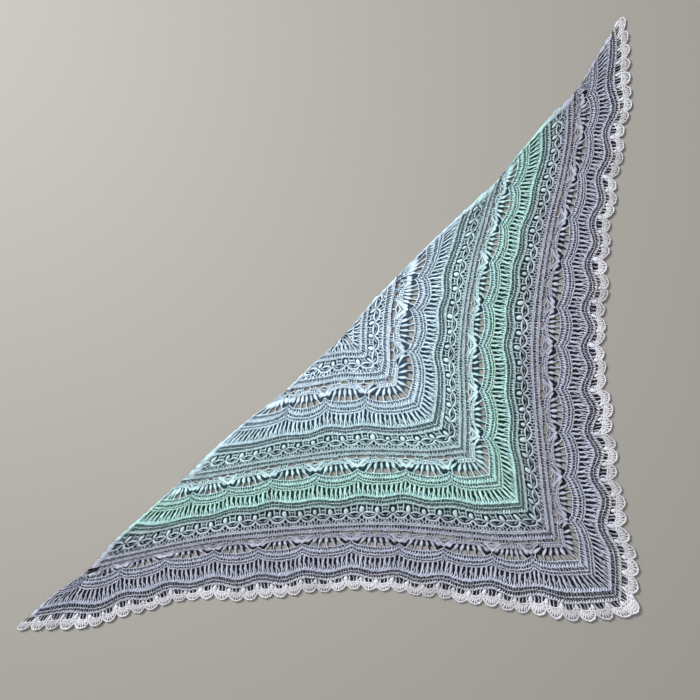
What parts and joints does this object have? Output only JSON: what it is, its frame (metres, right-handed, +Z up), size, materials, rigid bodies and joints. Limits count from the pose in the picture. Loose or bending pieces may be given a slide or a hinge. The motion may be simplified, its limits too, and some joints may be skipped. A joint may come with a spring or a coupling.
{
  "type": "crochet shawl",
  "caption": "Triangular crochet shawl laid flat, with bands of fans, tall stitches, bobbles and a shell edging.",
  "frame": {"origin": "middle of the shawl's box on the floor, on its flat underside", "axes": "+X along the wingspan to the right tip, +Y from the corner to the top edge, +Z up"},
  "size_m": [2.0024, 0.9259, 0.0046],
  "materials": {
    "wool_centre": "soft matt wool and cotton yarn, icy pale blue",
    "wool_first_repeat": "soft matt wool and cotton yarn, pale aqua",
    "wool_second_repeat": "soft matt wool and cotton yarn, mint turning grey",
    "wool_third_repeat": "soft matt wool and cotton yarn, grey lilac",
    "wool_edging": "soft matt wool and cotton yarn, off white"
  },
  "bodies": {
    "root": {"centre_left": "wool_centre", "centre_right": "wool_centre", "first_repeat_left": "wool_first_repeat", "first_repeat_right": "wool_first_repeat", "second_repeat_left": "wool_second_repeat", "second_repeat_right": "wool_second_repeat", "third_repeat_left": "wool_third_repeat", "third_repeat_right": "wool_third_repeat", "edging_left": "wool_edging", "edging_right": "wool_edging"}
  },
  "joints": []
}
